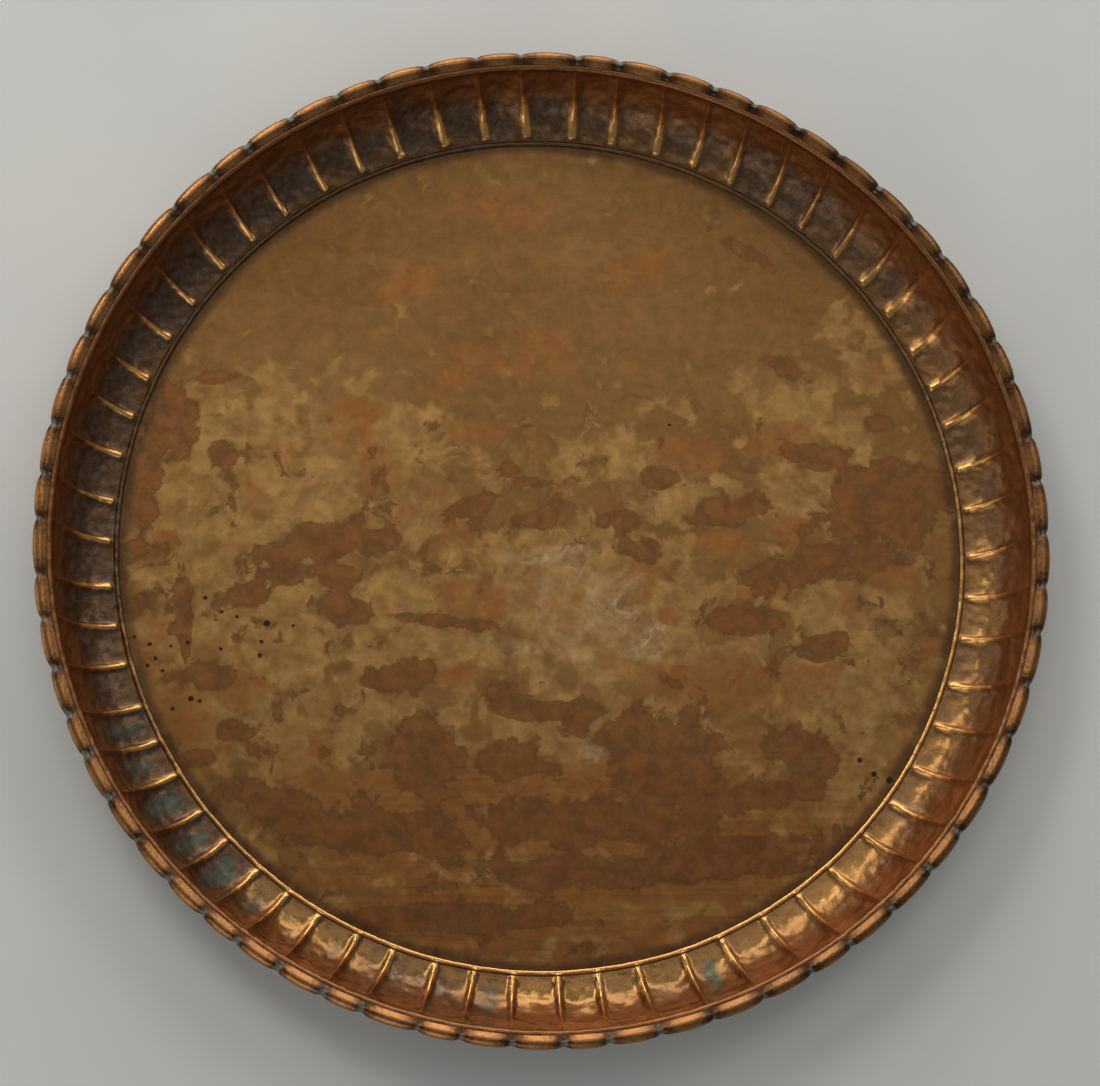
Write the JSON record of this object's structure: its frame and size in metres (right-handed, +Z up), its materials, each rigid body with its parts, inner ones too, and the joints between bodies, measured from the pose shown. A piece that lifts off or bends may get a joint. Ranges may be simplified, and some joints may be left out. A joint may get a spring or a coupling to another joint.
{
  "type": "round copper tray",
  "caption": "Large round hammered copper serving tray with a flat floor, a fluted coved wall and a crimped, wired rim.",
  "frame": {"origin": "on the tray's axis, in the flat underside that it rests on", "axes": "+Z up out of the open side of the tray, along its axis; +Y towards the point of the rim where the flute angles are counted from"},
  "size_m": [0.799, 0.7999, 0.06],
  "materials": {
    "floor_copper": "hammered copper with a worn khaki and brown patina",
    "wall_copper": "hammered copper, darkened in the flutes and bright on the ridges",
    "rim_copper": "hammered copper, rubbed bright, with verdigris in the notches",
    "wire_iron": "drawn iron wire, dark"
  },
  "bodies": {
    "root": {"floor_sheet": "floor_copper", "fluted_wall": "wall_copper", "rim_strip": "rim_copper", "rim_wire": "wire_iron"}
  },
  "joints": []
}
